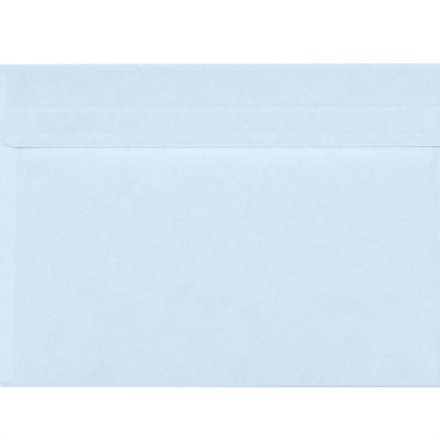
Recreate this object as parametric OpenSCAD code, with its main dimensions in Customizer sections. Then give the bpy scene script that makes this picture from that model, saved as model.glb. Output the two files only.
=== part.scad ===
// Paper envelope, closed and lying flat with its seal flap upwards.
// One cut sheet makes it: a front panel that lies on the table, two side flaps folded in
// over it, a back panel folded up from the bottom and glued on the side flaps, and a seal
// flap folded down from the top. A strip of gum lies on the underside of the seal flap.
// X runs along the long edges, Y towards the seal flap's fold, Z up, and the origin is
// on the table under the middle of the envelope.

/* [Envelope] */
// Length of the envelope, between its two side folds
env_w = 229; // [150:1:330]
// Height of the envelope, between its bottom fold and its top fold
env_h = 162; // [110:1:240]

/* [Paper] */
// Thickness of the paper
paper_t = 0.13; // [0.08:0.01:0.2]
// Open height inside the side folds
pocket_gap = 0.35; // [0.2:0.05:1]
// Clearance between the back panel and the closed seal flap
flap_clearance = 0.12; // [0.08:0.01:0.3]

/* [Seal flap] */
// Depth of the seal flap, from the top fold to its free edge
flap_depth = 41.9; // [38:0.1:60]
// Distance of the flap's sides from the side folds, at the top fold
flap_inset = 0.8; // [0.3:0.1:3]
// Further distance of the flap's sides from the side folds, at the free edge
flap_taper = 1.6; // [0:0.1:12]
// Radius of the flap's two free corners
flap_corner_r = 6.5; // [1:0.5:12]

/* [Back panel] */
// Depth of the throat, from the top fold down to the back panel's upper edge
throat_depth = 21.9; // [12:0.1:22]
// Distance of the back panel's cut sides from the side folds
back_inset = 1; // [0.6:0.1:2]
// Radius of the back panel's two upper corners
back_corner_r = 1.2; // [0.4:0.1:4]

/* [Side flaps] */
// Width of a side flap at the throat
side_flap_w = 9.6; // [7:0.1:14]
// How much narrower a side flap is at its lower end
side_flap_taper = 2.4; // [0:0.1:3]
// Width of the shoulder that a side flap has above the throat
shoulder_w = 5; // [3:0.1:6]
// Height of the slanted upper end of a shoulder
shoulder_slant = 6; // [2:0.5:8]
// Distance of a side flap's upper end from the top fold
side_head_gap = 1.2; // [0.8:0.1:3]
// Distance of a side flap's lower end from the bottom fold
side_foot_gap = 2; // [1:0.1:6]
// Radius of a side flap's inner corner at its lower end
side_foot_r = 2.6; // [0.5:0.1:3]

/* [Pillow] */
// Rise of the back panel at the middle, where the empty pocket stands open
pillow_h = 2.2; // [0.3:0.1:4]
// Distance over which the back panel rises from the seal flap's edge
pillow_mouth_run = 38; // [20:1:60]
// Distance over which it rises from the bottom fold
pillow_foot_run = 60; // [40:1:110]
// Distance over which it rises from the side flaps
pillow_side_run = 24; // [12:1:65]
// Flat margin between the pillow and the folds and flaps around it
pillow_margin = 1.5; // [0.5:0.1:5]

/* [Gum] */
// Distance of the gum strip's left end from the left side fold
gum_left_gap = 19.2; // [12:0.1:40]
// Distance of the gum strip's right end from the right side fold
gum_right_gap = 15.9; // [12:0.1:40]
// Width of the gum strip
gum_w = 11.1; // [6:0.1:12]
// Thickness of the gum strip
gum_t = 0.04; // [0.02:0.01:0.06]
// Distance of the gum strip from the flap's free edge
gum_edge_gap = 6.5; // [3:0.1:8]

/* [Hidden] */

paper_colour = [0.83, 0.89, 0.96];
gum_colour = [0.86, 0.88, 0.82];

// Underside of each layer, counted up from the table.
side_z = paper_t + pocket_gap;
back_z = side_z + paper_t;
flap_z = back_z + paper_t + flap_clearance;

// Outer radius of each fold, from the two layers that it joins.
side_fold_r = (side_z + paper_t) / 2;
bottom_fold_r = (back_z + paper_t) / 2;
top_fold_r = (flap_z + paper_t) / 2;

side_x = env_w / 2;
top_y = env_h / 2;
bottom_y = -env_h / 2;
throat_y = top_y - throat_depth;
flap_y = top_y - flap_depth;

back_x = side_x - back_inset;
flap_top_x = side_x - flap_inset;
flap_edge_x = flap_top_x - flap_taper;

side_head_y = top_y - side_head_gap;
side_foot_y = bottom_y + side_foot_gap;
shoulder_r = side_flap_w - shoulder_w;

front_x = side_x - side_fold_r;
front_low_y = bottom_y + bottom_fold_r;
front_top_y = top_y - top_fold_r;

pillow_x = side_x - side_flap_w - pillow_margin;
pillow_low_y = front_low_y + pillow_margin;
pillow_top_y = flap_y;

// How far a fold's ends, and the pillow's rim, reach into the flat panel that they join.
lap = 0.2;

// How sharply the pillow starts at the seal flap's edge and at the bottom fold.
mouth_power = 4;
foot_power = 2;

fold_fn = 48;
corner_steps = 16;
pillow_columns = 24;
pillow_rows = 16;
// How closely the pillow's rows stand together towards the seal flap's edge, and its
// columns towards both sides.
row_crowding = 1.4;
column_crowding = 1.8;

// Points on an arc about a centre, from one angle to another.
function arc(centre, r, from, to) = [
    for (i = [0:corner_steps])
        let (a = from + (to - from) * i / corner_steps)
        centre + r * [cos(a), sin(a)]
];

// A point list turned over to the other side of the envelope.
function mirrored(points) = [
    for (i = [len(points) - 1:-1:0]) [-points[i][0], points[i][1]]
];

// A layer of the sheet with a given outline, its underside at a given height.
module layer(z, thickness = paper_t) {
    translate([0, 0, z]) linear_extrude(thickness) children();
}

// Half disc that bulges towards +X, with a straight tail behind it.
module tongue(r, tail) {
    circle(r, $fn = fold_fn);
    translate([-tail, -r]) square([tail, 2 * r]);
}

// Fold along Y that bulges towards +X, with a lap for each of the two panels it joins.
module fold(r, length) {
    rotate([90, 0, 0]) linear_extrude(length, center = true) intersection() {
        difference() {
            tongue(r, r);
            tongue(r - paper_t, 2 * r);
        }
        translate([-lap, -r]) square([lap + r, 2 * r]);
    }
}

// Front panel, flat on the table between the start lines of its four folds. Its corners
// are clipped where the notches of the cut sheet leave off.
module front_panel() {
    right = [
        [back_x, front_low_y],
        [front_x, side_foot_y],
        [front_x, side_head_y],
        [flap_top_x, front_top_y]
    ];
    layer(0) polygon(concat(right, mirrored(right)));
}

// Bottom fold, from the front panel up to the back panel.
module bottom_fold() {
    translate([0, front_low_y, bottom_fold_r]) rotate(-90) fold(bottom_fold_r, 2 * back_x);
}

// Top fold, from the front panel up to the seal flap.
module top_fold() {
    translate([0, front_top_y, top_fold_r]) rotate(90) fold(top_fold_r, 2 * flap_top_x);
}

// Right-hand side fold and side flap. The flap's upper end is a narrow shoulder with a
// slanted end, a curve leads from it to the throat, and its foot has a round corner.
module side_flap() {
    inner_x = side_x - side_flap_w;
    foot_x = inner_x + side_flap_taper;
    outline = concat(
        [[front_x, side_foot_y], [front_x, side_head_y], [front_x - lap, side_head_y]],
        [[side_x - shoulder_w, side_head_y - shoulder_slant]],
        arc([inner_x, throat_y + shoulder_r], shoulder_r, 0, -90),
        arc([foot_x + side_foot_r, side_foot_y + side_foot_r], side_foot_r, 180, 270)
    );
    layer(side_z) polygon(outline);
    translate([front_x, (side_foot_y + side_head_y) / 2, side_fold_r])
        fold(side_fold_r, side_head_y - side_foot_y);
}

// Share of a run that is covered at a distance from its start.
function covered(distance, run) = max(0, min(1, distance / run));

// How far the back panel stands up at a point.
function rise(x, y) =
    let (side = covered(pillow_x - abs(x), pillow_side_run))
    let (foot = covered(y - pillow_low_y, pillow_foot_run))
    let (mouth = covered(pillow_top_y - y, pillow_mouth_run))
    pillow_h * side * side * (3 - 2 * side)
        * (1 - pow(1 - foot, foot_power)) * (1 - pow(1 - mouth, mouth_power));

// Thin shell over rows of points that run from left to right, the topmost row first.
module shell(rows) {
    across = len(rows[0]);
    down = len(rows);
    count = across * down;
    lower = [for (row = rows) each row];
    upper = [for (p = lower) p + [0, 0, paper_t]];
    under = [
        for (j = [0:down - 2], i = [0:across - 2])
            let (a = j * across + i, b = a + across)
            each [[a, b, a + 1], [a + 1, b, b + 1]]
    ];
    over = [for (f = under) [f[2], f[1], f[0]] + count * [1, 1, 1]];
    rim = concat(
        [for (i = [0:across - 1]) i],
        [for (j = [1:down - 1]) j * across + across - 1],
        [for (i = [1:across - 1]) count - 1 - i],
        [for (j = [1:down - 2]) (down - 1 - j) * across]
    );
    edge = [
        for (k = [0:len(rim) - 1])
            let (a = rim[k], b = rim[(k + 1) % len(rim)])
            [a, b, b + count, a + count]
    ];
    polyhedron(concat(lower, upper), concat(under, over, edge));
}

// The part of the back panel that stands up over the open pocket.
module pillow() {
    depth = pillow_top_y - pillow_low_y;
    xs = concat(
        -pillow_x - lap,
        [
            for (i = [0:pillow_columns])
                let (share = 2 * i / pillow_columns - 1)
                pillow_x * sign(share) * (1 - pow(1 - abs(share), column_crowding))
        ],
        pillow_x + lap
    );
    ys = concat(
        pillow_top_y + lap,
        [for (j = [0:pillow_rows]) pillow_top_y - depth * pow(j / pillow_rows, row_crowding)],
        pillow_low_y - lap
    );
    shell([for (y = ys) [for (x = xs) [x, y, back_z + rise(x, y)]]]);
}

// Back panel, glued on the side flaps, with round upper corners and a straight throat.
module back_panel() {
    corner = arc([back_x - back_corner_r, throat_y - back_corner_r], back_corner_r, 0, 90);
    right = concat([[back_x, front_low_y]], corner);
    layer(back_z) difference() {
        polygon(concat(right, mirrored(right)));
        translate([-pillow_x, pillow_low_y])
            square([2 * pillow_x, pillow_top_y - pillow_low_y]);
    }
    pillow();
}

// Seal flap, with sides that draw in towards its free edge and two round corners.
module seal_flap() {
    slant_top_y = front_top_y - lap;
    lean = atan(flap_taper / (slant_top_y - flap_y));
    inward = flap_corner_r * tan((90 - lean) / 2);
    corner = arc([flap_edge_x - inward, flap_y + flap_corner_r], flap_corner_r, -90, -lean);
    right = concat(corner, [[flap_top_x, slant_top_y], [flap_top_x, front_top_y]]);
    layer(flap_z) polygon(concat(right, mirrored(right)));
}

module folded_sheet() {
    color(paper_colour) union() {
        front_panel();
        bottom_fold();
        top_fold();
        side_flap();
        mirror([1, 0, 0]) side_flap();
        back_panel();
        seal_flap();
    }
}

// Gum strip, dried on the underside of the seal flap.
module seal_gum() {
    gum_l = env_w - gum_left_gap - gum_right_gap;
    color(gum_colour) layer(flap_z - gum_t, gum_t)
        translate([gum_left_gap - side_x, flap_y + gum_edge_gap]) square([gum_l, gum_w]);
}

folded_sheet();
seal_gum();
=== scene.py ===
# %% [markdown]
# # A paper envelope, folded from one sheet
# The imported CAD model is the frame: its solids say how large the envelope is and where
# each layer of paper lies. Here the sheet is modelled again as a thin skin that is folded
# the way the maker folds it, and gets its paper.

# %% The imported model
import math

import bmesh
import bpy
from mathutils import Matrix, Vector


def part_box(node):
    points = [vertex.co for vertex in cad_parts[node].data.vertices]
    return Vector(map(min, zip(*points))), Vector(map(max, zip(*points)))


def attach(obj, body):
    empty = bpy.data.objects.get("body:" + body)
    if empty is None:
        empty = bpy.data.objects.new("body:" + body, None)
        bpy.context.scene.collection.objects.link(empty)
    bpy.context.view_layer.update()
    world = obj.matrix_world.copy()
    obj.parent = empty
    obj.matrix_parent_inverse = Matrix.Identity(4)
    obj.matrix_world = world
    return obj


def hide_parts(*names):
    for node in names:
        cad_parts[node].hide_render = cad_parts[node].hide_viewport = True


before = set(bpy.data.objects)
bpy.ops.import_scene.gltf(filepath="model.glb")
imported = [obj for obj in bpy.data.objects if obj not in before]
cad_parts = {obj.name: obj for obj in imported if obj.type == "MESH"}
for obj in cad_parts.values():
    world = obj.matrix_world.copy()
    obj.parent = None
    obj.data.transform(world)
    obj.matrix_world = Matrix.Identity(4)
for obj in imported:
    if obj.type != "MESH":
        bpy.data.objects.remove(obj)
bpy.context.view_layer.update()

# %% [markdown]
# ## The sheet and its layers
# An envelope is four layers deep at most: the front panel on the table, a side flap, the
# back panel and the seal flap. All sizes are those of the CAD model, in metres. A height
# is that of the middle of the paper, because the skin is modelled first and gets its
# thickness on both sides at the end. A film of glue, a hundredth of a millimetre, lies
# between a side flap and the back panel, so that the two layers never touch.

# %% Sizes of the folded sheet
MM = 0.001
corner_low, corner_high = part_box("folded_sheet")
SIDE, TOP, BOTTOM = corner_high[0], corner_high[1], corner_low[1]
PAPER, GLUE = 0.13 * MM, 0.01 * MM

SIDE_UNDERSIDE, BACK_UNDERSIDE, FLAP_UNDERSIDE = 0.48 * MM, 0.61 * MM, 0.86 * MM
FRONT_Z = PAPER / 2
SIDE_Z = SIDE_UNDERSIDE + PAPER / 2 - GLUE
BACK_Z = BACK_UNDERSIDE + PAPER / 2
FLAP_Z = FLAP_UNDERSIDE + PAPER / 2

SIDE_FOLD = (SIDE_Z - FRONT_Z) / 2
BOTTOM_FOLD = (BACK_Z - FRONT_Z) / 2
TOP_FOLD = (FLAP_Z - FRONT_Z) / 2

FOLD_X = SIDE - SIDE_FOLD - PAPER / 2
FOLD_LOW_Y = BOTTOM + BOTTOM_FOLD + PAPER / 2
FOLD_TOP_Y = TOP - TOP_FOLD - PAPER / 2
print("front panel between the folds, mm:", round(2 * FOLD_X / MM, 2), "x",
      round((FOLD_TOP_Y - FOLD_LOW_Y) / MM, 2))

# %% [markdown]
# ## The lines of the cut sheet
# Each panel of the cut sheet ends at a line. The lines are given here as the CAD model
# gives them, by their distances from the folds, so they can be compared one by one.

# %% Lines of the cut sheet
FLAP_DEPTH, THROAT_DEPTH = 41.9 * MM, 21.9 * MM
FLAP_INSET, FLAP_TAPER, BACK_INSET = 0.8 * MM, 1.6 * MM, 1 * MM
SIDE_HEAD_GAP, SIDE_FOOT_GAP = 1.2 * MM, 2 * MM
LAP = 0.2 * MM

FLAP_Y = TOP - FLAP_DEPTH
THROAT_Y = TOP - THROAT_DEPTH
BACK_X = SIDE - BACK_INSET
FLAP_TOP_X = SIDE - FLAP_INSET
FLAP_EDGE_X = FLAP_TOP_X - FLAP_TAPER
SIDE_FOOT_Y = BOTTOM + SIDE_FOOT_GAP
SIDE_HEAD_Y = TOP - SIDE_HEAD_GAP
print("seal flap reaches over the throat, mm:", round((THROAT_Y - FLAP_Y) / MM, 2))

# %% [markdown]
# ## Working on rows of edges
# The whole sheet is one mesh, and it stays open in edit mode while it is folded. Each
# step needs the edges of one row: the row that a fold starts from, or the cross edges
# between two rows. By hand they would be clicked; here a helper picks them by the places
# of their ends, which stays right when the sizes change.

# %% Helpers that pick edges
TOUCH = 0.001 * MM


def same(a, b):
    """Whether two places are the same, to a thousandth of a millimetre."""
    return abs(a - b) < TOUCH


def pick(test):
    """Selects the edges whose two ends pass the test, and nothing else."""
    skin = bmesh.from_edit_mesh(bpy.context.object.data)
    bpy.ops.mesh.select_all(action="DESELECT")
    chosen = [edge for edge in skin.edges if test(edge.verts[0].co, edge.verts[1].co)]
    for edge in chosen:
        edge.select_set(True)
    bmesh.update_edit_mesh(bpy.context.object.data)
    return len(chosen)


def pick_row(y, z):
    """Selects the row of edges that lies at one Y and one height."""
    return pick(lambda a, b: all(same(p.y, y) and same(p.z, z) for p in (a, b)))


print("places are the same within, mm:", round(TOUCH / MM, 4))

# %% [markdown]
# ## Pulling and turning rows
# A panel grows from a fold as the paper does on the machine: one helper extrudes the row
# at the fold to the next line of the panel, at that line's width, and cuts the new strip
# into finer rows. The other one spins a row round a fold. Bending a flat sheet with a
# modifier is another way, but then each panel's end would have to be fitted to its line.

# %% Helpers that pull and turn rows
FOLD_STEPS = 8


def pull_rows(start, z, lines):
    """Pulls the row at start = (y, half width) out to each line (y, half width, cuts)."""
    for y, half, cuts in lines:
        pick_row(start[0], z)
        bpy.ops.mesh.extrude_edges_move(TRANSFORM_OT_translate={"value": (0, y - start[0], 0)})
        bpy.ops.transform.resize(value=(half / start[1], 1, 1), center_override=(0, 0, 0))
        if cuts:
            ends = (start[0], y)
            pick(lambda a, b: same(a.z, z) and same(b.z, z) and not same(a.y, b.y)
                 and all(any(same(p.y, end) for end in ends) for p in (a, b)))
            bpy.ops.mesh.subdivide(number_cuts=cuts)
        start = (y, half)


def turn_over(centre, axis, way):
    """Turns the picked row through half a turn, in the steps that the fold's curve needs."""
    bpy.ops.mesh.spin(steps=FOLD_STEPS, angle=way * math.pi, center=centre, axis=axis)


print("steps of a fold's curve:", FOLD_STEPS)

# %% [markdown]
# ## The front panel
# The front panel is the plain address side, flat on the table. A grid gives it columns
# and rows of about 1.6 mm, close enough together for the soft shapes that follow. Its four
# corners are clipped, because the notches of the cut sheet leave off there, so the grid
# ends where the side folds end and one narrower row is pulled out at either end. The new
# grid reaches 1 m each way, so a resize by the half width and half depth gives its size.

# %% Front panel
COLUMNS, ROWS = 142, 99
bpy.ops.object.select_all(action="DESELECT")
bpy.ops.mesh.primitive_grid_add(x_subdivisions=COLUMNS, y_subdivisions=ROWS, size=2)
envelope = bpy.context.object
envelope.name = envelope.data.name = "folded_paper"
bpy.ops.object.mode_set(mode="EDIT")
bpy.ops.mesh.select_mode(type="EDGE")
bpy.ops.mesh.select_all(action="SELECT")
half_depth = (SIDE_HEAD_Y - SIDE_FOOT_Y) / 2
bpy.ops.transform.resize(value=(FOLD_X, half_depth, 1), center_override=(0, 0, 0))
bpy.ops.transform.translate(value=(0, SIDE_FOOT_Y + half_depth, FRONT_Z))
pull_rows((SIDE_FOOT_Y, FOLD_X), FRONT_Z, [(FOLD_LOW_Y, BACK_X, 0)])
pull_rows((SIDE_HEAD_Y, FOLD_X), FRONT_Z, [(FOLD_TOP_Y, FLAP_TOP_X, 0)])
print("edges at the bottom fold:", pick_row(FOLD_LOW_Y, FRONT_Z))

# %% [markdown]
# ## The bottom fold and the back panel
# The sheet turns over the bottom fold, and the back panel lies over the front panel up to
# the throat, the straight upper edge of the pocket. The fold is spun, so its curve is true
# from any side. The panel's last rows narrow along a quarter circle: its round corners.

# %% Bottom fold and back panel
PILLOW_MARGIN = 1.5 * MM
PILLOW_LOW_Y = FOLD_LOW_Y + PILLOW_MARGIN
ROLL_OVER_RUN, ROLL_OVER_CUTS = 0.5 * MM, 3
POCKET_CUTS, MOUTH_CUTS = 73, 11
BACK_CORNER, BACK_CORNER_ROWS = 1.2 * MM, 4


def corner_lines(centre_x, centre_y, radius, start, steps, up):
    """Rows along a round corner, from the angle of the straight side to its end."""
    turns = [start + (math.pi / 2 - start) * i / steps for i in range(1, steps + 1)]
    return [(centre_y + up * radius * math.sin(turn), centre_x + radius * math.cos(turn), 0)
            for turn in turns]


pick_row(FOLD_LOW_Y, FRONT_Z)
turn_over((0, FOLD_LOW_Y, FRONT_Z + BOTTOM_FOLD), (1, 0, 0), 1)
back_lines = [
    (FOLD_LOW_Y + ROLL_OVER_RUN, BACK_X, ROLL_OVER_CUTS),
    (PILLOW_LOW_Y, BACK_X, 0),
    (FLAP_Y, BACK_X, POCKET_CUTS),
    (THROAT_Y - BACK_CORNER, BACK_X, MOUTH_CUTS),
    *corner_lines(BACK_X - BACK_CORNER, THROAT_Y - BACK_CORNER, BACK_CORNER,
                  0, BACK_CORNER_ROWS, 1),
]
pull_rows((FOLD_LOW_Y, BACK_X), BACK_Z, back_lines)
print("edges at the throat:", pick_row(THROAT_Y, BACK_Z))

# %% [markdown]
# ## The top fold and the seal flap
# The seal flap comes down from the top fold. Its sides draw in a little towards the free
# edge, and its two corners are round. The last rows follow those quarter circles, so the
# outline is smooth although the mesh is a plain grid.

# %% Top fold and seal flap
FLAP_CUTS = 21
FLAP_CORNER, FLAP_CORNER_ROWS = 6.5 * MM, 9
SLANT_TOP_Y = FOLD_TOP_Y - LAP

lean = math.atan((FLAP_TOP_X - FLAP_EDGE_X) / (SLANT_TOP_Y - FLAP_Y))
corner_x = FLAP_EDGE_X - FLAP_CORNER * math.tan((math.pi / 2 - lean) / 2)
corner_y = FLAP_Y + FLAP_CORNER
corner_start = (corner_y - FLAP_CORNER * math.sin(lean), corner_x + FLAP_CORNER * math.cos(lean))

pick_row(FOLD_TOP_Y, FRONT_Z)
turn_over((0, FOLD_TOP_Y, FRONT_Z + TOP_FOLD), (1, 0, 0), -1)
flap_lines = [
    (SLANT_TOP_Y, FLAP_TOP_X, 0),
    (*corner_start, FLAP_CUTS),
    *corner_lines(corner_x, corner_y, FLAP_CORNER, lean, FLAP_CORNER_ROWS, -1),
]
pull_rows((FOLD_TOP_Y, FLAP_TOP_X), FLAP_Z, flap_lines)
print("edges at the flap's free edge:", pick_row(FLAP_Y, FLAP_Z))

# %% [markdown]
# ## The outline of a side flap
# A side flap narrows towards the bottom and has a round corner at its foot. Above the
# throat it is only a narrow shoulder with a slanted end, and a curve leads from the throat
# to the shoulder. One function gives the inner edge at each height of the envelope, so
# the outline stands in one place for both flaps and can be read from top to bottom.

# %% Outline of a side flap
SIDE_FLAP_W, SIDE_FLAP_TAPER = 9.6 * MM, 2.4 * MM
SHOULDER_W, SHOULDER_SLANT = 5 * MM, 6 * MM
SHOULDER_CURVE = SIDE_FLAP_W - SHOULDER_W
FOOT_CORNER = 2.6 * MM


def side_flap_edge(y):
    """X of a side flap's inner edge at one height of the envelope."""
    if y > SIDE_HEAD_Y - SHOULDER_SLANT:
        share = (SIDE_HEAD_Y - y) / SHOULDER_SLANT
        return FOLD_X - LAP + share * (SIDE - SHOULDER_W - FOLD_X + LAP)
    if y > THROAT_Y + SHOULDER_CURVE:
        return SIDE - SHOULDER_W
    inner = SIDE - SIDE_FLAP_W
    if y > THROAT_Y:
        drop = THROAT_Y + SHOULDER_CURVE - y
        return inner + math.sqrt(SHOULDER_CURVE ** 2 - drop ** 2)
    inner += SIDE_FLAP_TAPER * (THROAT_Y - y) / (THROAT_Y - SIDE_FOOT_Y)
    drop = max(0, SIDE_FOOT_Y + FOOT_CORNER - y)
    return inner + FOOT_CORNER - math.sqrt(max(0, FOOT_CORNER ** 2 - drop ** 2))


print("side flap's width at the throat, mm:", round((SIDE - side_flap_edge(THROAT_Y)) / MM, 2))

# %% [markdown]
# ## The side folds and side flaps
# The side flaps are folded in first and lie under the back panel, which is glued on them.
# Each one is turned over its fold and pulled in as a plain strip, and the strip is cut
# into columns. Each of its rows is then drawn to the width that the outline has there. A
# boolean cut would give the outline too, but it would leave long thin faces.

# %% Side folds and side flaps
SIDE_FLAP_CUTS = 4

for side in (1, -1):
    on_fold = lambda p, z: same(p.x, side * FOLD_X) and same(p.z, z)
    pick(lambda a, b: on_fold(a, FRONT_Z) and on_fold(b, FRONT_Z))
    turn_over((side * FOLD_X, 0, FRONT_Z + SIDE_FOLD), (0, 1, 0), side)
    pick(lambda a, b: on_fold(a, SIDE_Z) and on_fold(b, SIDE_Z))
    bpy.ops.mesh.extrude_edges_move(
        TRANSFORM_OT_translate={"value": (-side * SIDE_FLAP_W, 0, 0)})
    pick(lambda a, b: same(a.z, SIDE_Z) and same(b.z, SIDE_Z)
         and same(abs(a.x - b.x), SIDE_FLAP_W))
    bpy.ops.mesh.subdivide(number_cuts=SIDE_FLAP_CUTS)
bpy.ops.object.mode_set(mode="OBJECT")

for point in envelope.data.vertices:
    if same(point.co.z, SIDE_Z) and abs(point.co.x) < FOLD_X - TOUCH:
        share = (FOLD_X - abs(point.co.x)) / SIDE_FLAP_W
        width = FOLD_X - side_flap_edge(point.co.y)
        point.co.x = math.copysign(FOLD_X - share * width, point.co.x)
print("points of the folded skin:", len(envelope.data.vertices))

# %% [markdown]
# ## Soft shapes
# From here on the flat layers get the soft shapes of real paper: a rise, a droop, a sag
# and a roll. Each one starts at a line and grows or fades over a run. Two kinds of growth
# are enough: a gentle one, level at both ends, and a sharp one, steep at its start. This
# moves each point by a formula, because no operator knows these shapes.

# %% Helpers for soft shapes
def covered(distance, run):
    """Share of a run that is covered at a distance from its start."""
    return max(0.0, min(1.0, distance / run))


def smooth(share):
    """The share with a gentle start and end."""
    return share * share * (3 - 2 * share)


def sharp_start(distance, run, power):
    """Rises from 0 to 1 over a run, steeply at first and then ever more gently."""
    return 1 - (1 - covered(distance, run)) ** power


def lift_panel(z, height_at):
    """Adds a height to every point of the panel at one height, and returns the highest."""
    lifted = [p for p in envelope.data.vertices if same(p.co.z, z)]
    for point in lifted:
        point.co.z += height_at(point.co.x, point.co.y)
    return max(p.co.z for p in lifted) - z


print("after a quarter of a run, gentle and sharp:", smooth(0.25), sharp_start(0.25, 1, 3))

# %% [markdown]
# ## The empty pocket
# Nothing holds the pocket shut, so the back panel stands up by about two millimetres
# between its glued sides. It bows across its whole width, rises sharply at the seal flap's
# edge and sinks gently towards the bottom fold. A small lip at the mouth carries the sharp
# start out to the side seams. It is as high as the CAD model's rise and stays in its box.
# Blowing the pocket up with a cloth simulation was the other way, but paper doesn't
# stretch as cloth does, and a formula can be set against what one sees.

# %% The back panel's rise
BOW_H, BOW_X = 1.7 * MM, SIDE - SIDE_FLAP_W - PILLOW_MARGIN
MOUTH_RUN, FOOT_RUN = 62 * MM, 76 * MM
BOW_POWER, MOUTH_POWER, FOOT_POWER = 3, 6, 2
LIP_H, LIP_RUN, LIP_SIDE_RUN, LIP_LAP = 0.5 * MM, 8 * MM, 3 * MM, 0.3 * MM
LIP_X = SIDE - SIDE_FLAP_W + LIP_LAP


def rise(x, y):
    """How far the back panel stands up at a point."""
    bow = sharp_start(BOW_X - abs(x), BOW_X, BOW_POWER)
    mouth = sharp_start(FLAP_Y - y, MOUTH_RUN, MOUTH_POWER)
    foot = sharp_start(y - PILLOW_LOW_Y, FOOT_RUN, FOOT_POWER)
    lip = covered(LIP_X - abs(x), LIP_SIDE_RUN) * math.sin(
        math.pi / 2 * covered(FLAP_Y - y, LIP_RUN))
    return (BOW_H * bow * mouth + LIP_H * lip) * foot


print("back panel rises, mm:", round(lift_panel(BACK_Z, rise) / MM, 3))

# %% [markdown]
# ## The seal flap's own shape
# Between its ends the flap's free edge droops on to the back panel, so the line under it
# is thin. Paper keeps a little spring, though, and the gum strip stops short of the
# flap's ends, so near its two free corners the edge stands off by a tenth of a millimetre,
# which darkens the line there. Its sides lie down again. Nothing lies under the flap above
# the throat, so it sinks there. Sculpting could do this too, but a formula gives the same
# flap each time.

# %% The seal flap's edge, corners and sag
DROOP, DROOP_RUN = 0.11 * MM, 5 * MM
SIDE_DROOP_RUN, SIDE_DROOP_POWER = 6.5 * MM, 2
LEFT_LIFT, RIGHT_LIFT = 0.115 * MM, 0.095 * MM
CORNER_REACH_X, CORNER_REACH_Y = 30 * MM, 17 * MM
SAG, SAG_RUN, EDGE_RUN = 0.1 * MM, 6 * MM, 12 * MM


def flap_shape(x, y):
    """How far the seal flap stands above its plane at a point, or below it."""
    along = smooth(covered(abs(x) - (FLAP_EDGE_X - CORNER_REACH_X), CORNER_REACH_X))
    across = smooth(covered(FLAP_Y + CORNER_REACH_Y - y, CORNER_REACH_Y))
    at_side = sharp_start(abs(x) - (FLAP_EDGE_X - SIDE_DROOP_RUN), SIDE_DROOP_RUN,
                          SIDE_DROOP_POWER)
    corner = (RIGHT_LIFT if x > 0 else LEFT_LIFT) * along * across * (1 - at_side)
    droop = DROOP * (1 - along) * smooth(covered(FLAP_Y + DROOP_RUN - y, DROOP_RUN))
    from_fold = covered(FOLD_TOP_Y - y, EDGE_RUN)
    sag = SAG * smooth(covered(y - THROAT_Y, SAG_RUN) * from_fold) * covered(
        FLAP_EDGE_X - abs(x), EDGE_RUN)
    return corner - droop - sag - DROOP * at_side * from_fold


print("seal flap's corners stand off, mm:", round(lift_panel(FLAP_Z, flap_shape) / MM, 3))

# %% [markdown]
# ## The seal flap's skew
# The flap was folded a little askew, so its right end is a fifth of a millimetre shorter
# than its left. Turning the whole flap would tear it off its fold. So its points move
# along Y instead, by nothing at the fold and by the whole skew at the free edge.

# %% The seal flap's skew
SKEW, SKEW_FROM_X, SKEW_RUN = 0.2 * MM, 20 * MM, 80 * MM

for point in envelope.data.vertices:
    if point.co.z > BACK_Z + PAPER and point.co.y > FLAP_Y - TOUCH:
        turned = covered(FOLD_TOP_Y - point.co.y, FOLD_TOP_Y - FLAP_Y)
        point.co.y += SKEW * turned * smooth(covered(point.co.x - SKEW_FROM_X, SKEW_RUN))
print("seal flap's right end is shorter, mm:", round(SKEW / MM, 2))

# %% [markdown]
# ## Pressed folds
# A folding machine presses its folds, so the envelope is thinner there, and the layers
# next to a fold roll down to it. Each fold is drawn in to the height that its roll leaves
# it, so it stays a round bend with room for the paper's thickness. Squashing it flat would
# be simpler, but then the inside of the bend would cut through itself.

# %% Helper for pressed folds
def roll_down(fold_y, way, radius, drops):
    """Rolls the layers down to a fold by drops = (height, run, share at x)."""
    for point in envelope.data.vertices:
        inward = way * (fold_y - point.co.y)
        lowered = sum(drop * share_at(point.co.x) * (1 - covered(inward, run)) ** 2
                      for drop, run, share_at in drops)
        if inward > TOUCH:
            point.co.z -= lowered * covered(point.co.z - FRONT_Z, SIDE_Z - FRONT_Z)
        else:
            left = 1 - lowered / (2 * radius)
            point.co.z = FRONT_Z + left * (point.co.z - FRONT_Z)
            point.co.y = fold_y + way * (radius * (1 - left) - left * inward)


print("folds before they are pressed, mm high:",
      [round(2 * radius / MM, 2) for radius in (BOTTOM_FOLD, TOP_FOLD)])

# %% [markdown]
# ## How far each fold rolls
# Seen from above, the roll is a soft paler line along the top and a darker one along the
# bottom. The bottom fold was pressed hardest at its left end. Towards the right the paper
# also rolls over in its last half millimetre, which draws a thin dark line. Each roll is a
# sum of a few drops, and a drop has a height, a run and its share along the fold.

# %% Roll at the top fold and the bottom fold
ROLL_OVER_FROM_X, ROLL_OVER_GROWS = -27 * MM, 75 * MM


def rolled_over(x):
    """Share of the roll over at the bottom fold: 0 at its left end, 1 at its right end."""
    return smooth(covered(x - ROLL_OVER_FROM_X, ROLL_OVER_GROWS))


def everywhere(x):
    """The same share along the whole fold."""
    return 1


TOP_ROLL = [(0.145 * MM, 3 * MM, everywhere)]
BOTTOM_ROLL = [
    (0.06 * MM, 3 * MM, everywhere),
    (0.15 * MM, 14 * MM, everywhere),
    (0.21 * MM, ROLL_OVER_RUN, rolled_over),
]
roll_down(FOLD_TOP_Y, 1, TOP_FOLD, TOP_ROLL)
roll_down(FOLD_LOW_Y, -1, BOTTOM_FOLD, BOTTOM_ROLL)
print("skin's height, mm:", round(max(p.co.z for p in envelope.data.vertices) / MM, 2))

# %% [markdown]
# ## Thickness
# The skin is closed up at the seams, its faces are turned the same way, and Solidify then
# gives it the thickness of the paper, half on either side of the skin. Folds stay round
# and the cut edges stay sharp, because only faces at a small angle are shaded smooth.

# %% Paper thickness
SMOOTH_UP_TO = math.radians(40)

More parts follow.
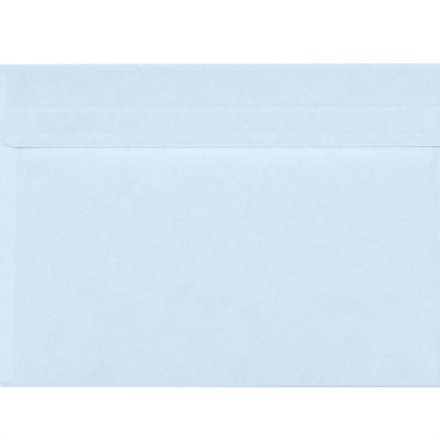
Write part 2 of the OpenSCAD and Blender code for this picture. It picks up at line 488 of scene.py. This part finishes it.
bpy.ops.object.mode_set(mode="EDIT")
bpy.ops.mesh.select_all(action="SELECT")
bpy.ops.mesh.remove_doubles(threshold=TOUCH)
bpy.ops.mesh.normals_make_consistent(inside=False)
bpy.ops.object.mode_set(mode="OBJECT")
thickness = envelope.modifiers.new("thickness", "SOLIDIFY")
thickness.thickness = PAPER
thickness.offset = 0
thickness.use_even_offset = True
bpy.ops.object.modifier_apply(modifier=thickness.name)
bpy.ops.object.shade_smooth_by_angle(angle=SMOOTH_UP_TO)
print("triangles:", sum(len(face.vertices) - 2 for face in envelope.data.polygons))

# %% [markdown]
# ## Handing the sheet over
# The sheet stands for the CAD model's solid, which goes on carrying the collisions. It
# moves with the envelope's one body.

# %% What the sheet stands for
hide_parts("folded_sheet")
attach(envelope, "root")
print("sheet stands for folded_sheet:", envelope.name)

# %% [markdown]
# ## Reading places in a material
# What a sheet of paper shows from above follows the layers under it, and those lie at
# known places. So the paper's colour is worked out from Object coordinates. An image would
# be another way, but it needs the folded sheet laid out flat, and it blurs in close views.
# Such a node tree has many small sums, so one helper starts a material, a second one feeds
# a socket, and a third one makes one sum.

# %% Helpers for node trees and the paper's material
def new_material(name):
    """A material with an empty tree but for its shader and output."""
    material = bpy.data.materials.new(name)
    material.use_nodes = True
    return material, material.node_tree, material.node_tree.nodes["Principled BSDF"]


def feed(tree, socket, value):
    """Links a socket to another one, or writes a plain number or colour into it."""
    if isinstance(value, bpy.types.NodeSocket):
        tree.links.new(value, socket)
    else:
        socket.default_value = value


def calc(tree, operation, a, b=0.0, clamp=False):
    """One Math node, and its result."""
    node = tree.nodes.new("ShaderNodeMath")
    node.operation = operation
    node.use_clamp = clamp
    feed(tree, node.inputs[0], a)
    feed(tree, node.inputs[1], b)
    return node.outputs[0]


paper, tree, shader = new_material("pale_blue_paper")
place = tree.nodes.new("ShaderNodeTexCoord").outputs["Object"]
axes = tree.nodes.new("ShaderNodeSeparateXYZ")
feed(tree, axes.inputs[0], place)
across, along, height = axes.outputs["X"], axes.outputs["Y"], axes.outputs["Z"]
out = calc(tree, "ABSOLUTE", across)
print("nodes for the place:", len(tree.nodes))

# %% [markdown]
# ## Windows
# A window is 1 inside and 0 outside, and soft at its edge, as the edge of a layer is that
# shows through paper. It could be a black and white picture, but a sum of soft steps is
# exact and says in millimetres where it is, and a product of two windows is what they have
# in common. The first window is the seal flap with its fold, told by place and height.

# %% Helpers for windows, and the seal flap's window
def past(tree, value, edge, soft):
    """0 before an edge and 1 past it, with a soft step between."""
    steps = calc(tree, "DIVIDE", calc(tree, "SUBTRACT", value, edge), soft)
    return calc(tree, "ADD", steps, 0.5, clamp=True)


def outside(tree, window):
    """What a window leaves over."""
    return calc(tree, "SUBTRACT", 1, window)


def common(tree, window, *others):
    """What all the windows have in common."""
    for other in others:
        window = calc(tree, "MULTIPLY", window, other)
    return window


HARD, SOFT = 0.02 * MM, 0.7 * MM
BETWEEN_Z = (BACK_UNDERSIDE + PAPER + FLAP_UNDERSIDE) / 2
EDGE_MARGIN, FOLD_MARGIN = 0.5 * MM, 1 * MM
flap_or_fold = calc(tree, "MAXIMUM", past(tree, height, BETWEEN_Z, HARD),
                    past(tree, along, FOLD_TOP_Y - FOLD_MARGIN, SOFT))
on_flap = common(tree, past(tree, along, FLAP_Y - EDGE_MARGIN, HARD), flap_or_fold)
print("nodes with the seal flap's window:", len(tree.nodes))

# %% [markdown]
# ## Tones
# A mix of two colours lays a window over the paper, and a noise gives what the fibres do
# by chance. Tones are read on a screen, from 0 to 255, and a material needs them as linear
# light, so one helper turns the one into the other.

# %% Helpers for tones
def blend(tree, share, a, b):
    """Colour a where share is 0 and colour b where it is 1."""
    node = tree.nodes.new("ShaderNodeMix")
    node.data_type = "RGBA"
    feed(tree, node.inputs["Factor"], share)
    feed(tree, node.inputs[6], a)
    feed(tree, node.inputs[7], b)
    return node.outputs[2]


def grain(tree, place, size, detail=2.0):
    """Noise with features of about one size, from 0 to 1."""
    node = tree.nodes.new("ShaderNodeTexNoise")
    feed(tree, node.inputs["Vector"], place)
    node.inputs["Scale"].default_value = 1 / size
    node.inputs["Detail"].default_value = detail
    return node.outputs["Fac"]


def paper_tone(red, green, blue):
    """The linear colour that shows as these levels, from 0 to 255, on a screen."""
    levels = [level / 255 for level in (red, green, blue)]
    return (*[((level + 0.055) / 1.055) ** 2.4 for level in levels], 1.0)


print("a middle grey as linear light:", round(paper_tone(128, 128, 128)[0], 3))

# %% [markdown]
# ## Pale blue paper
# Thin paper lets light through, so its tone says how many layers lie below. Two layers
# with air between them are the plain tone. Where the back panel is glued on a side flap
# there are three, and the strip is paler. The seal flap is darkest over the open pocket,
# paler where it lies on the back panel, and duller and less blue where the gum is. A
# different way would be real light through real layers, but paper of a few layers needs
# very many samples for that, and the exported model would lose it. So a window comes first
# for each: here the strip over a side flap, whose inner edge draws outwards on its way
# down to its foot.

# %% Paper: strips over the side flaps
slope = SIDE_FLAP_TAPER / (THROAT_Y - SIDE_FOOT_Y)
flap_edge = calc(tree, "SUBTRACT", SIDE - SIDE_FLAP_W + slope * THROAT_Y,
                 calc(tree, "MULTIPLY", along, slope))
on_side_flap = common(tree, past(tree, out, flap_edge, SOFT),
                      past(tree, along, SIDE_FOOT_Y + FOOT_CORNER / 2, 2 * SOFT))
print("strip narrows towards the foot, mm:", round(SIDE_FLAP_TAPER / MM, 2))

# %% [markdown]
# ## What lies under the seal flap
# The pocket is open between the two shoulders, the throat and the top fold, and it shows
# through the flap as a slightly darker field. Its two lower corners are round, because a
# curve leads from each shoulder to the throat, so its window is a distance from the
# curve's centre and not a plain rectangle.

# %% Paper: open pocket
slant = calc(tree, "MAXIMUM", calc(tree, "SUBTRACT", along, SIDE_HEAD_Y - SHOULDER_SLANT), 0)
beyond_x = calc(tree, "SUBTRACT", calc(tree, "SUBTRACT", out, SIDE - SHOULDER_W - SHOULDER_CURVE),
                calc(tree, "MULTIPLY", slant, SHOULDER_W / SHOULDER_SLANT))
beyond_y = calc(tree, "SUBTRACT", THROAT_Y + SHOULDER_CURVE, along)
reach = calc(tree, "SQRT", calc(
    tree, "ADD",
    calc(tree, "POWER", calc(tree, "MAXIMUM", beyond_x, 0), 2),
    calc(tree, "POWER", calc(tree, "MAXIMUM", beyond_y, 0), 2)))
over_pocket = outside(tree, past(tree, reach, SHOULDER_CURVE, SOFT))
print("nodes with the pocket:", len(tree.nodes))

# %% [markdown]
# ## The gum's band
# The dried gum on the flap's underside shows through it as a duller band. The strip's own
# solid says where it lies, so its box is read instead of giving the numbers again.

# %% Paper: gum strip
gum_low, gum_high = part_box("seal_gum")
gum_x, gum_y = [(gum_low[i] + gum_high[i]) / 2 for i in (0, 1)]
gum_half_x, gum_half_y = [(gum_high[i] - gum_low[i]) / 2 for i in (0, 1)]
off_x = calc(tree, "ABSOLUTE", calc(tree, "SUBTRACT", across, gum_x))
off_y = calc(tree, "ABSOLUTE", calc(tree, "SUBTRACT", along, gum_y))
gum_rows = outside(tree, past(tree, off_y, gum_half_y, SOFT))
over_gum = common(tree, gum_rows, outside(tree, past(tree, off_x, gum_half_x, 3 * SOFT)))
print("gum strip, mm:", round(2 * gum_half_x / MM, 1), "x", round(2 * gum_half_y / MM, 1))

# %% [markdown]
# ## The tone of each layer
# Each window gets its tone. Beside the seal flap's corner the side strip gets a painted
# shade, as dark as two layers, for the shadow that the flap's corner casts there. The bottom
# fold's rim gets a painted highlight on its left half, a paler tone for the light that the
# rim catches. These tones could be painted by hand, but as numbers they can be set one by
# one against a real envelope. Each pair in brackets is a window's edge and how soft it is.

# %% Paper: tones below the flap
TWO_LAYERS = paper_tone(211.5, 228.5, 244.5)
GLUED_STRIP = paper_tone(216, 232, 246)
# Painted shade for the strip beside the seal flap's corner, where the corner's shadow falls:
CORNER_SHADE = paper_tone(211.5, 228, 242.5)
# Painted highlight for the bottom fold's rim:
RIM_HIGHLIGHT = paper_tone(226, 239, 251)

# Window of the painted shade beside the seal flap's corner
BESIDE_CORNER, SHADE_END = (FLAP_Y, SOFT), (FLAP_Y + 13 * MM, 5 * MM)
corner_shade = common(tree, past(tree, along, *BESIDE_CORNER),
               outside(tree, past(tree, along, *SHADE_END)))
strip_tone = blend(tree, corner_shade, GLUED_STRIP, CORNER_SHADE)
open_tone = blend(tree, on_side_flap, TWO_LAYERS, strip_tone)

# Painted highlight along the bottom fold's rim, on its left half, for the light the rim catches
FOLD_RIM, LEFT_HALF = (BOTTOM + 0.35 * MM, 0.3 * MM), (0, 60 * MM)
rim_highlight = common(tree, outside(tree, past(tree, along, *FOLD_RIM)),
                   outside(tree, past(tree, across, *LEFT_HALF)))
open_tone = blend(tree, rim_highlight, open_tone, RIM_HIGHLIGHT)
print("plain paper's linear colour:", [round(c, 3) for c in TWO_LAYERS[:3]])

# %% [markdown]
# ## The seal flap's tones
# The flap is darkest over the open pocket, and palest over the shoulders next to the side
# folds: three layers show through there, and a painted highlight grows towards each fold.
# Towards its left end the flap is a little darker, most of all over the gum band. That is
# a trace of black over the tone.

# %% Paper: tones of the seal flap
FLAP_ON_BACK = paper_tone(213, 229.5, 244.5)
FLAP_ON_POCKET = paper_tone(208.8, 225.8, 241.8)
FLAP_ON_GUM = paper_tone(212, 228, 241.5)
# Over the shoulder three layers show through, with a painted highlight towards the side fold
FLAP_SHOULDER_AND_HIGHLIGHT = paper_tone(221, 234.5, 248)
flap_tone = blend(tree, over_pocket, FLAP_ON_BACK, FLAP_ON_POCKET)
flap_tone = blend(tree, over_gum, flap_tone, FLAP_ON_GUM)

# Window of the shoulder, growing towards the side fold for the painted highlight
BY_SIDE_FOLD, ABOVE_CORNER = (SIDE - 2.6 * MM, 4.4 * MM), (FLAP_Y + 9 * MM, 8 * MM)
BELOW_TOP = (TOP - 6 * MM, 4 * MM)
shoulder_and_highlight = common(tree, past(tree, out, *BY_SIDE_FOLD), past(tree, along, *ABOVE_CORNER),
                     outside(tree, over_pocket), outside(tree, past(tree, along, *BELOW_TOP)))
flap_tone = blend(tree, shoulder_and_highlight, flap_tone, FLAP_SHOULDER_AND_HIGHLIGHT)

# The flap darkens towards its left end, most of all over the gum band
LEFT_DARKENING, BLACK = 0.013, (0, 0, 0, 1)
DARKER_END, ABOVE_EDGE = (45 * MM, 50 * MM), (FLAP_Y + 5.5 * MM, 2 * MM)
to_left = past(tree, calc(tree, "MULTIPLY", across, -1), *DARKER_END)
darker_left = common(tree, to_left, past(tree, along, *ABOVE_EDGE),
              calc(tree, "ADD", LEFT_DARKENING, calc(tree, "MULTIPLY", gum_rows, LEFT_DARKENING)))
flap_tone = blend(tree, darker_left, flap_tone, BLACK)
layer_tone = blend(tree, on_flap, open_tone, flap_tone)
print("nodes for all the tones:", len(tree.nodes))

# %% [markdown]
# ## Cloudiness
# Held against the light, paper is cloudy, because its fibres settle unevenly on the wire.
# That cloudiness is a soft mottling in all sizes from a centimetre and a half down to a
# third of a millimetre, only about one part in a hundred strong. One noise has one main
# size, so four noises of falling size are added up: each has a size, a detail and a
# strength. The side flap below and its glue even the cloudiness out by a half.

# %% Paper: cloudiness
CLOUDS = ((14 * MM, 3, 0.06), (4 * MM, 2, 0.055), (1.7 * MM, 2, 0.105), (0.35 * MM, 3, 0.05))
CALMED = 0.5
cloudy = 0.0
for size, detail, clouds in CLOUDS:
    off_mean = calc(tree, "SUBTRACT", grain(tree, place, size, detail), 0.5)
    cloudy = calc(tree, "ADD", calc(tree, "MULTIPLY", off_mean, clouds), cloudy)

calm = outside(tree, calc(tree, "MULTIPLY", on_side_flap, CALMED))
strength = calc(tree, "ADD", calc(tree, "MULTIPLY", cloudy, calm), 1)
mottled = tree.nodes.new("ShaderNodeVectorMath")
mottled.operation = "SCALE"
feed(tree, mottled.inputs[0], layer_tone)
feed(tree, mottled.inputs["Scale"], strength)
feed(tree, shader.inputs["Base Color"], mottled.outputs[0])
print("sizes of the clouds, mm:", [round(size / MM, 2) for size, detail, clouds in CLOUDS])

# %% [markdown]
# ## Fibres
# The fibres themselves are too small to see from above, but they break up the light and
# make the paper matt. Real bumps would need millions of faces, so the fibres go into the
# bump, a few hundredths of a millimetre deep, and the roughness does the rest.

# %% Paper: fibres
FIBRE_SIZE, FIBRE_DEPTH = 0.25 * MM, 0.03 * MM
fibres = tree.nodes.new("ShaderNodeBump")
fibres.inputs["Strength"].default_value = 0.7
fibres.inputs["Distance"].default_value = FIBRE_DEPTH
feed(tree, fibres.inputs["Height"], grain(tree, place, FIBRE_SIZE, 4))
feed(tree, shader.inputs["Normal"], fibres.outputs[0])

shader.inputs["Roughness"].default_value = 0.85
shader.inputs["IOR"].default_value = 1.45
shader.inputs["Specular IOR Level"].default_value = 0.25
envelope.data.materials.clear()
envelope.data.materials.append(paper)
print("paper material:", len(tree.nodes), "nodes")

# %% [markdown]
# ## Dried gum
# The gum on the seal flap's underside is dry, a little glossy and of a dull, faintly
# yellow grey. Its own solid has the right shape, a thin strip, so it stays and only gets
# its finish. The dried film is thicker in some places than in others, which a noise mixes
# from two colours, and its ripples are too shallow for a mesh, so they are a bump.

# %% Gum material
FILM_SIZE, RIPPLE_SIZE, RIPPLE_DEPTH = 3 * MM, 0.8 * MM, 0.01 * MM
THICK_FILM, THIN_FILM = paper_tone(208, 218, 222), paper_tone(220, 226, 224)
gum, tree, shader = new_material("dried_gum")
place = tree.nodes.new("ShaderNodeTexCoord").outputs["Object"]
film = grain(tree, place, FILM_SIZE, 4)
feed(tree, shader.inputs["Base Color"], blend(tree, film, THICK_FILM, THIN_FILM))
ripples = tree.nodes.new("ShaderNodeBump")
ripples.inputs["Strength"].default_value = 0.3
ripples.inputs["Distance"].default_value = RIPPLE_DEPTH
feed(tree, ripples.inputs["Height"], grain(tree, place, RIPPLE_SIZE, 2))
feed(tree, shader.inputs["Normal"], ripples.outputs[0])
shader.inputs["Roughness"].default_value = 0.38
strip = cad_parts["seal_gum"]
for slot in strip.material_slots:
    slot.material = gum
print("gum material:", len(tree.nodes), "nodes")

# %% [markdown]
# ## The floor
# The envelope lies on a white floor. Light Path tells the rays that look at the floor from
# the light that falls on it: the first see a glow that is nearly white by itself, and the
# rest meets a plain pale floor. A wholly glowing floor would be simpler, but it would
# light the paper from the sides and lose the envelope's shadow.

# %% Floor
FLOOR_SIZE = 6
FLOOR_BOUNCE, FLOOR_SEEN, FLOOR_GLOW = (0.8, 0.8, 0.8, 1), (0.1, 0.1, 0.1, 1), 0.905


def seen_directly(tree):
    """1 for what the camera sees by itself, in a reflection or through glass, or else 0."""
    rays = tree.nodes.new("ShaderNodeLightPath")
    return calc(tree, "MAXIMUM", rays.outputs["Is Camera Ray"], calc(
        tree, "MAXIMUM", rays.outputs["Is Glossy Ray"], rays.outputs["Is Transmission Ray"]))


bpy.ops.object.select_all(action="DESELECT")
bpy.ops.mesh.primitive_plane_add(size=FLOOR_SIZE, location=(0, 0, 0))
floor = bpy.context.object
floor.name = "floor"
white, tree, shader = new_material("white_floor")
seen = seen_directly(tree)
feed(tree, shader.inputs["Base Color"], blend(tree, seen, FLOOR_BOUNCE, FLOOR_SEEN))
shader.inputs["Roughness"].default_value = 1
shader.inputs["Specular IOR Level"].default_value = 0
shader.inputs["Emission Color"].default_value = (1, 1, 1, 1)
feed(tree, shader.inputs["Emission Strength"], calc(tree, "MULTIPLY", seen, FLOOR_GLOW))
floor.data.materials.append(white)
print("floor, m:", FLOOR_SIZE, "x", FLOOR_SIZE)

# %% [markdown]
# ## The sky
# Soft light comes from all round, a little blue, as from a pale room. The camera sees it
# as plain white. One sky could light the envelope alone, but then the flap would draw no
# line on the back panel, so it gives only about three quarters of the light.

# %% Sky
SKY, SKY_TINT, WHITE = 0.745, (0.84, 0.863, 1, 1), (1, 1, 1, 1)
world = bpy.data.worlds.new("soft_sky")
bpy.context.scene.world = world
world.use_nodes = True
tree = world.node_tree
sky = tree.nodes["Background"]
seen = seen_directly(tree)
feed(tree, sky.inputs["Color"], blend(tree, seen, SKY_TINT, WHITE))
feed(tree, sky.inputs["Strength"], calc(tree, "MAXIMUM", seen, SKY))
print("sky's strength:", SKY)

# %% [markdown]
# ## The lamp
# A wide lamp stands low behind the envelope's upper edge, like a window: that is what
# brightens the paper that rises below the flap and draws the thin dark line under the
# flap's edge. It is a little warm. Together with the sky it gives a level sheet about the
# colour that its material says.

# %% Lamp
LAMP_FROM = Vector((-0.9, 7.33, 5.77))
LAMP_WIDTH, LAMP_HEIGHT, LAMP_POWER = 5.6, 2.4, 503
LAMP_COLOUR = (1.1, 1.05, 0.75)
bpy.ops.object.light_add(type="AREA", location=LAMP_FROM)
lamp = bpy.context.object
lamp.name = "window_light"
lamp.data.shape = "RECTANGLE"
lamp.data.size, lamp.data.size_y = LAMP_WIDTH, LAMP_HEIGHT
lamp.data.energy = LAMP_POWER
lamp.data.color = LAMP_COLOUR
lamp.rotation_euler = (-LAMP_FROM).to_track_quat("-Z", "Y").to_euler()
print("lamp's distance, m:", round(LAMP_FROM.length, 2))

# %% [markdown]
# ## The camera
# The camera looks straight down from far off through a long lens, as the photograph does,
# and leans by about a degree. Its frame cuts the envelope's two sides. Its distance comes
# from the length that one pixel of the photograph spans on the table.

# %% Camera
PHOTO_PIXELS, PIXEL = 440, 0.5005 * MM
LOOK_AT = Vector((-3.51 * MM, 2.64 * MM, 0))
LEAN, TURN = math.radians(1.2), math.radians(-0.035)
LENS, SENSOR = 200, 36
distance = PHOTO_PIXELS * PIXEL * LENS / SENSOR
bpy.ops.object.camera_add(location=LOOK_AT + Vector((LEAN, 0, 1)).normalized() * distance)
camera = bpy.context.object
camera.name = "camera_above"
camera.rotation_euler = (0, LEAN, TURN)
camera.data.lens, camera.data.sensor_width = LENS, SENSOR
camera.data.clip_start, camera.data.clip_end = 0.01, 20
bpy.context.scene.camera = camera
bpy.context.scene.view_settings.view_transform = "Standard"
print("camera above the table, m:", round(camera.location.z, 3))
